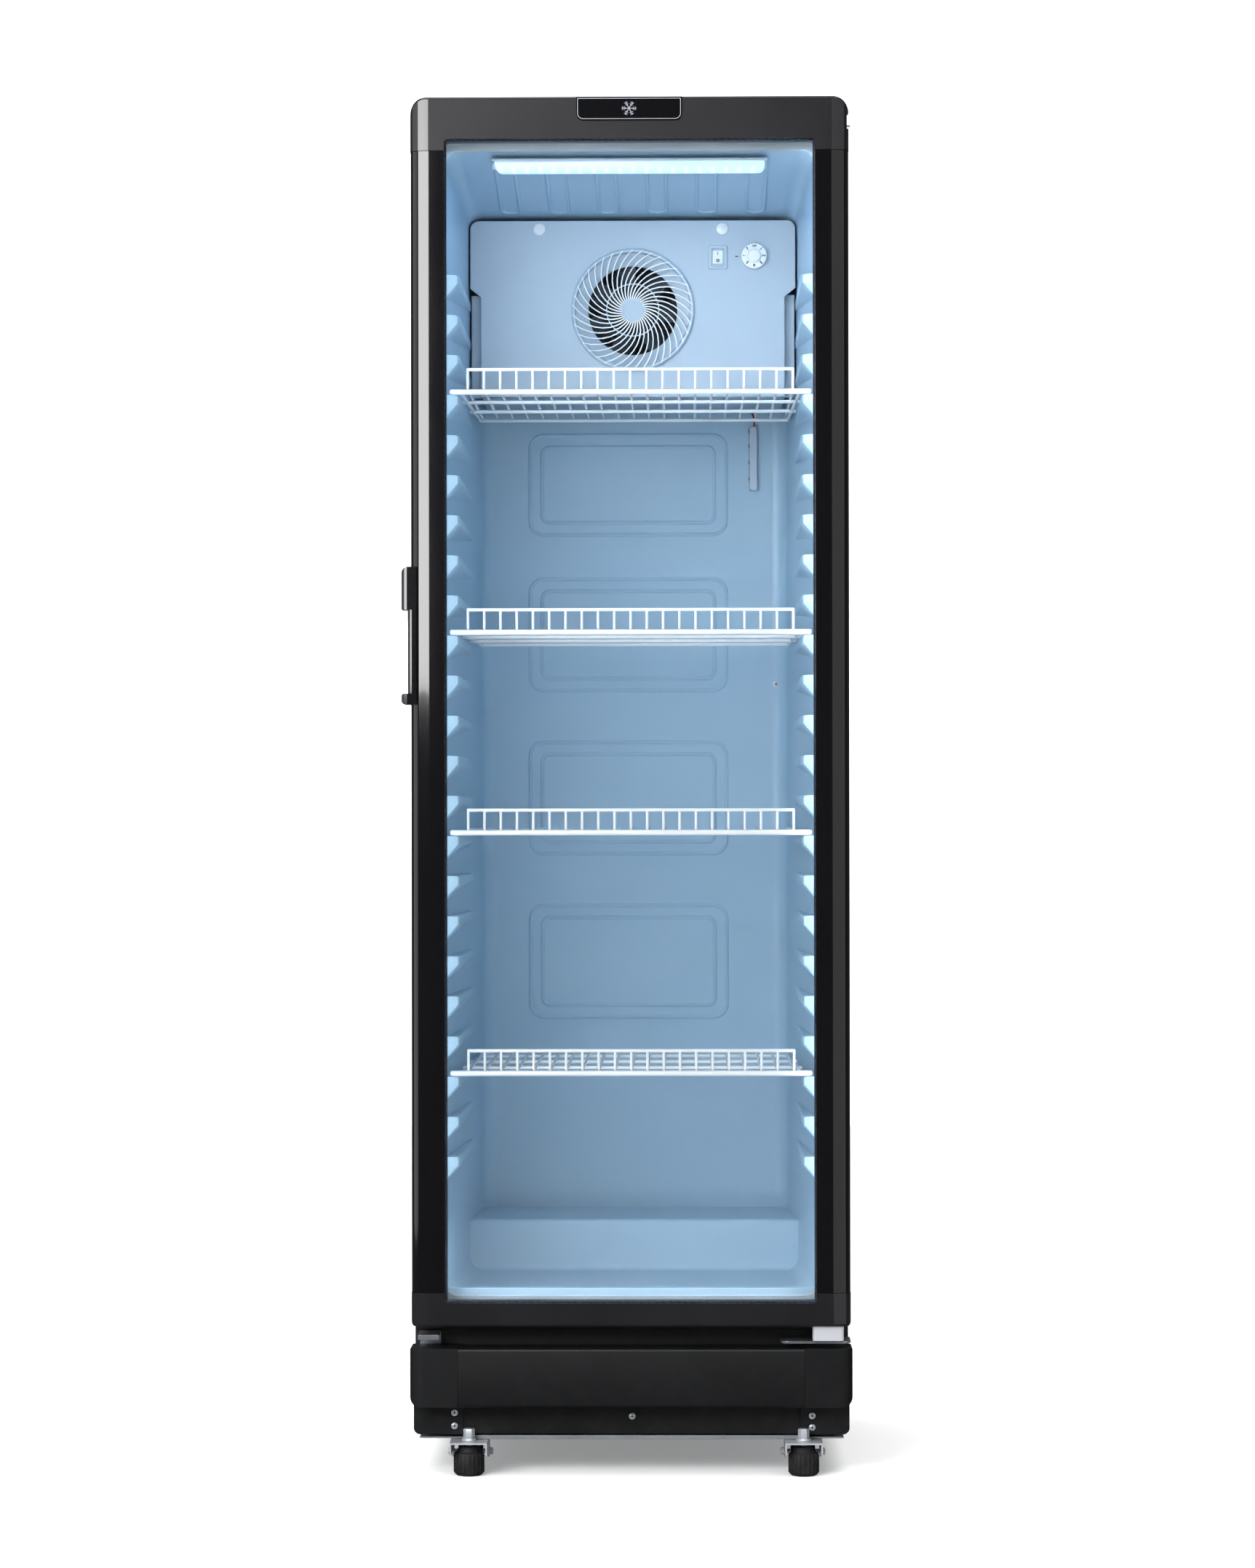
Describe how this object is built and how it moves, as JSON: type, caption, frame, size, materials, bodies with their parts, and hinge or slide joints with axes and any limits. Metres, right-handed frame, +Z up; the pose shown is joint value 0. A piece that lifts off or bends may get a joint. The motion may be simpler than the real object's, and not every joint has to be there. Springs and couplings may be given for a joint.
{
  "type": "upright glass door merchandiser",
  "caption": "Tall upright drinks merchandiser with a hinged double-glazed door, wire shelves, interior light and fan-cooled evaporator on levelling feet and rollers.",
  "frame": {"origin": "on the floor, under the middle of the cabinet", "axes": "+Z up, +X to the right seen from the front, the front faces -Y"},
  "size_m": [0.554, 0.5615, 1.695],
  "materials": {
    "gloss_black": "gloss",
    "charcoal": "satin",
    "matt_black": "matte",
    "shell_black": "satin",
    "base_black": "matte",
    "liner_white": "satin",
    "panel_white": "satin",
    "wire_white": "gloss",
    "zinc": "satin",
    "galvanised": "matte",
    "glass": "gloss",
    "spacer": "satin",
    "gasket": "matte",
    "nylon": "satin",
    "lamp": "satin",
    "fan_grey": "satin",
    "rubber_black": "matte",
    "foam": "matte",
    "aluminium": "satin",
    "compressor_black": "gloss",
    "copper": "satin"
  },
  "bodies": {
    "cabinet": {"outer_shell": "shell_black", "front_collar": "panel_white", "insulation_foam": "foam", "inner_liner": "liner_white", "back_panel": "galvanised", "machine_cover": "galvanised", "evaporator_cover": "panel_white", "fan_guard": "panel_white", "evaporator_fan_motor": "matt_black", "evaporator_coil": "aluminium", "switch_bezel": "panel_white", "light_housing": "panel_white", "light_lens": "lamp", "sensor_cover": "panel_white", "top_hinge": "zinc", "bottom_hinge": "zinc", "door_stop_plate": "zinc", "kick_panel_centre": "base_black", "kick_panel_left": "matt_black", "kick_panel_right": "matt_black", "lower_skirt": "base_black", "base_pan": "galvanised", "compressor": "compressor_black", "terminal_box": "matt_black", "condenser_coil": "copper", "condenser_fan_shroud": "galvanised", "drip_tray": "fan_grey", "power_inlet_box": "matt_black", "front_bracket_left": "zinc", "front_bracket_right": "zinc", "rear_bracket_left": "zinc", "rear_bracket_right": "zinc"},
    "door": {"door_top_cap": "charcoal", "door_bottom_cap": "charcoal", "door_stile_left": "gloss_black", "door_stile_right": "gloss_black", "outer_glass": "glass", "inner_glass": "glass", "glass_spacer": "spacer", "door_gasket": "gasket", "badge_plate": "gloss_black", "door_handle": "gloss_black", "hinge_cam_block": "nylon"},
    "lock": {"door_lock": "zinc"},
    "evaporator_fan": {"evaporator_fan": "fan_grey"},
    "condenser_fan": {"condenser_fan": "matt_black"},
    "thermostat_dial": {"thermostat_dial": "panel_white"},
    "switch_rocker": {"switch_rocker": "panel_white"},
    "shelf_1": {"shelf_1": "wire_white"},
    "shelf_2": {"shelf_2": "wire_white"},
    "shelf_3": {"shelf_3": "wire_white"},
    "shelf_4": {"shelf_4": "wire_white"},
    "levelling_foot_left": {"levelling_foot_left": "rubber_black", "foot_stud_left": "zinc"},
    "front_roller_left": {"front_roller_left": "rubber_black"},
    "rear_roller_left": {"rear_roller_left": "rubber_black"},
    "levelling_foot_right": {"levelling_foot_right": "rubber_black", "foot_stud_right": "zinc"},
    "front_roller_right": {"front_roller_right": "rubber_black"},
    "rear_roller_right": {"rear_roller_right": "rubber_black"}
  },
  "joints": [
    {"name": "door_hinge", "type": "hinge", "parent": "cabinet", "child": "door", "pos_m": [0.252, -0.254, 0.94], "axis": [0, 0, 1], "range_deg": [0, 110]},
    {"name": "lock_turn", "type": "hinge", "parent": "door", "child": "lock", "pos_m": [-0.273, -0.2445, 1.076], "axis": [1, 0, 0], "range_deg": [0, 90]},
    {"name": "shelf_1_lift", "type": "slide", "parent": "cabinet", "child": "shelf_1", "axis": [0, 0, 1], "range_m": [0, 0.01]},
    {"name": "shelf_2_lift", "type": "slide", "parent": "cabinet", "child": "shelf_2", "axis": [0, 0, 1], "range_m": [0, 0.01]},
    {"name": "shelf_3_lift", "type": "slide", "parent": "cabinet", "child": "shelf_3", "axis": [0, 0, 1], "range_m": [0, 0.01]},
    {"name": "shelf_4_lift", "type": "slide", "parent": "cabinet", "child": "shelf_4", "axis": [0, 0, 1], "range_m": [0, 0.01]},
    {"name": "evaporator_fan_spin", "type": "hinge", "parent": "cabinet", "child": "evaporator_fan", "pos_m": [0, 0.068, 1.471], "axis": [0, 1, 0], "continuous": true},
    {"name": "condenser_fan_spin", "type": "hinge", "parent": "cabinet", "child": "condenser_fan", "pos_m": [-0.14, -0.073, 0.107], "axis": [0, 1, 0], "continuous": true},
    {"name": "thermostat_turn", "type": "hinge", "parent": "cabinet", "child": "thermostat_dial", "pos_m": [0.1585, 0.046, 1.541], "axis": [0, 1, 0], "range_deg": [0, 300]},
    {"name": "switch_rock", "type": "hinge", "parent": "cabinet", "child": "switch_rocker", "pos_m": [0.111, 0.056, 1.5395], "axis": [1, 0, 0], "range_deg": [0, 14]},
    {"name": "levelling_foot_left_turn", "type": "hinge", "parent": "cabinet", "child": "levelling_foot_left", "pos_m": [-0.2, -0.254, 0.02], "axis": [0, 0, 1], "continuous": true},
    {"name": "front_roller_left_spin", "type": "hinge", "parent": "cabinet", "child": "front_roller_left", "pos_m": [-0.2, -0.212, 0.023], "axis": [1, 0, 0], "continuous": true},
    {"name": "rear_roller_left_spin", "type": "hinge", "parent": "cabinet", "child": "rear_roller_left", "pos_m": [-0.205, 0.235, 0.019], "axis": [1, 0, 0], "continuous": true},
    {"name": "levelling_foot_right_turn", "type": "hinge", "parent": "cabinet", "child": "levelling_foot_right", "pos_m": [0.212, -0.254, 0.02], "axis": [0, 0, 1], "continuous": true},
    {"name": "front_roller_right_spin", "type": "hinge", "parent": "cabinet", "child": "front_roller_right", "pos_m": [0.212, -0.212, 0.023], "axis": [1, 0, 0], "continuous": true},
    {"name": "rear_roller_right_spin", "type": "hinge", "parent": "cabinet", "child": "rear_roller_right", "pos_m": [0.205, 0.235, 0.019], "axis": [1, 0, 0], "continuous": true}
  ]
}
